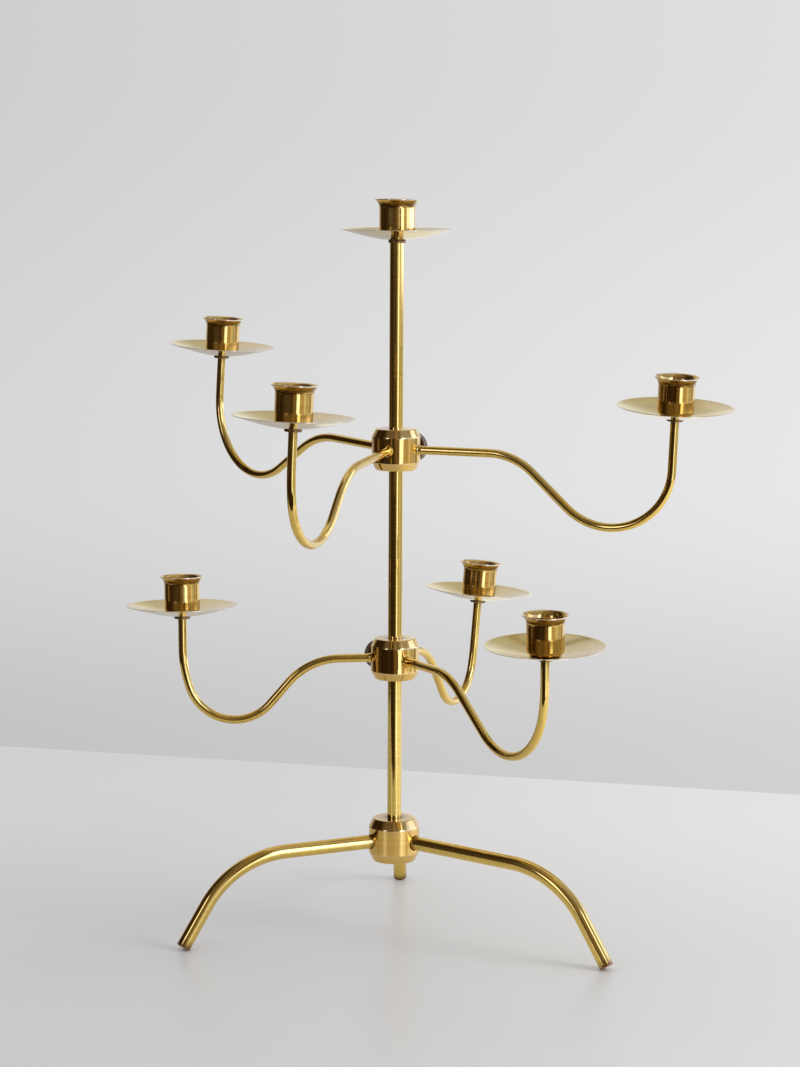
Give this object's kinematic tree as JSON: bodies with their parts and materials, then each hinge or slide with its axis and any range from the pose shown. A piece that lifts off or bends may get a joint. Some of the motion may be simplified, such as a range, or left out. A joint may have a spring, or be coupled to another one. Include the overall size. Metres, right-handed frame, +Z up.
{
  "type": "candelabra",
  "caption": "Polished brass candelabra: centre rod on bent legs, two clamped hubs with S-bent arms, each arm ending in a dished drip pan and a flared candle cup.",
  "frame": {"origin": "on the table, below the middle of the outline in X and Y; the centre rod stands at x -18.5 mm, y 7.1 mm", "axes": "+Z up along the centre rod, +X to the right and +Y away in the picture's view"},
  "size_m": [0.4182, 0.4266, 0.5215],
  "materials": {
    "polished_brass": "mirror polished with faint handling marks",
    "pan_brass": "polished, spun, slightly dulled on top",
    "dark_brass": "darkened, with tarnish in the grooves",
    "screw_steel": "plain steel"
  },
  "bodies": {
    "stand": {"centre_rod": "polished_brass", "rod_top_plug": "polished_brass", "rod_bottom_plug": "polished_brass", "base_screw": "screw_steel", "base_hub": "polished_brass", "leg_left": "polished_brass", "leg_right": "polished_brass", "leg_back": "polished_brass", "foot_plug_left": "dark_brass", "foot_plug_right": "dark_brass", "foot_plug_back": "dark_brass", "collar_top": "dark_brass", "drip_pan_top": "pan_brass", "candle_cup_top": "polished_brass", "cup_screw_top": "screw_steel"},
    "upper_slider": {"upper_sleeve": "polished_brass"},
    "upper_tier": {"upper_hub": "polished_brass", "arm_upper_right": "polished_brass", "collar_upper_right": "dark_brass", "drip_pan_upper_right": "pan_brass", "candle_cup_upper_right": "polished_brass", "cup_screw_upper_right": "screw_steel", "arm_upper_back": "polished_brass", "collar_upper_back": "dark_brass", "drip_pan_upper_back": "pan_brass", "candle_cup_upper_back": "polished_brass", "cup_screw_upper_back": "screw_steel", "arm_upper_front": "polished_brass", "collar_upper_front": "dark_brass", "drip_pan_upper_front": "pan_brass", "candle_cup_upper_front": "polished_brass", "cup_screw_upper_front": "screw_steel"},
    "upper_screw": {"upper_thumbscrew": "dark_brass"},
    "lower_slider": {"lower_sleeve": "polished_brass"},
    "lower_tier": {"lower_hub": "polished_brass", "arm_lower_left": "polished_brass", "collar_lower_left": "dark_brass", "drip_pan_lower_left": "pan_brass", "candle_cup_lower_left": "polished_brass", "cup_screw_lower_left": "screw_steel", "arm_lower_front": "polished_brass", "collar_lower_front": "dark_brass", "drip_pan_lower_front": "pan_brass", "candle_cup_lower_front": "polished_brass", "cup_screw_lower_front": "screw_steel", "arm_lower_back": "polished_brass", "collar_lower_back": "dark_brass", "drip_pan_lower_back": "pan_brass", "candle_cup_lower_back": "polished_brass", "cup_screw_lower_back": "screw_steel"},
    "lower_screw": {"lower_thumbscrew": "dark_brass"}
  },
  "joints": [
    {"name": "upper_height", "type": "slide", "parent": "stand", "child": "upper_slider", "axis": [0, 0, 1], "range_m": [-0.017, 0.128]},
    {"name": "upper_turn", "type": "hinge", "parent": "upper_slider", "child": "upper_tier", "pos_m": [-0.01852, 0.00707, 0.3475], "axis": [0, 0, 1], "continuous": true},
    {"name": "upper_thumb_turn", "type": "hinge", "parent": "upper_tier", "child": "upper_screw", "pos_m": [-0.01852, 0.00707, 0.3475], "axis": [0.6428, 0.766, 0], "range_deg": [0, 360]},
    {"name": "lower_height", "type": "slide", "parent": "stand", "child": "lower_slider", "axis": [0, 0, 1], "range_m": [-0.07, 0.017]},
    {"name": "lower_turn", "type": "hinge", "parent": "lower_slider", "child": "lower_tier", "pos_m": [-0.01852, 0.00707, 0.199], "axis": [0, 0, 1], "continuous": true},
    {"name": "lower_thumb_turn", "type": "hinge", "parent": "lower_tier", "child": "lower_screw", "pos_m": [-0.01852, 0.00707, 0.199], "axis": [-0.6157, 0.788, 0], "range_deg": [0, 360]}
  ]
}
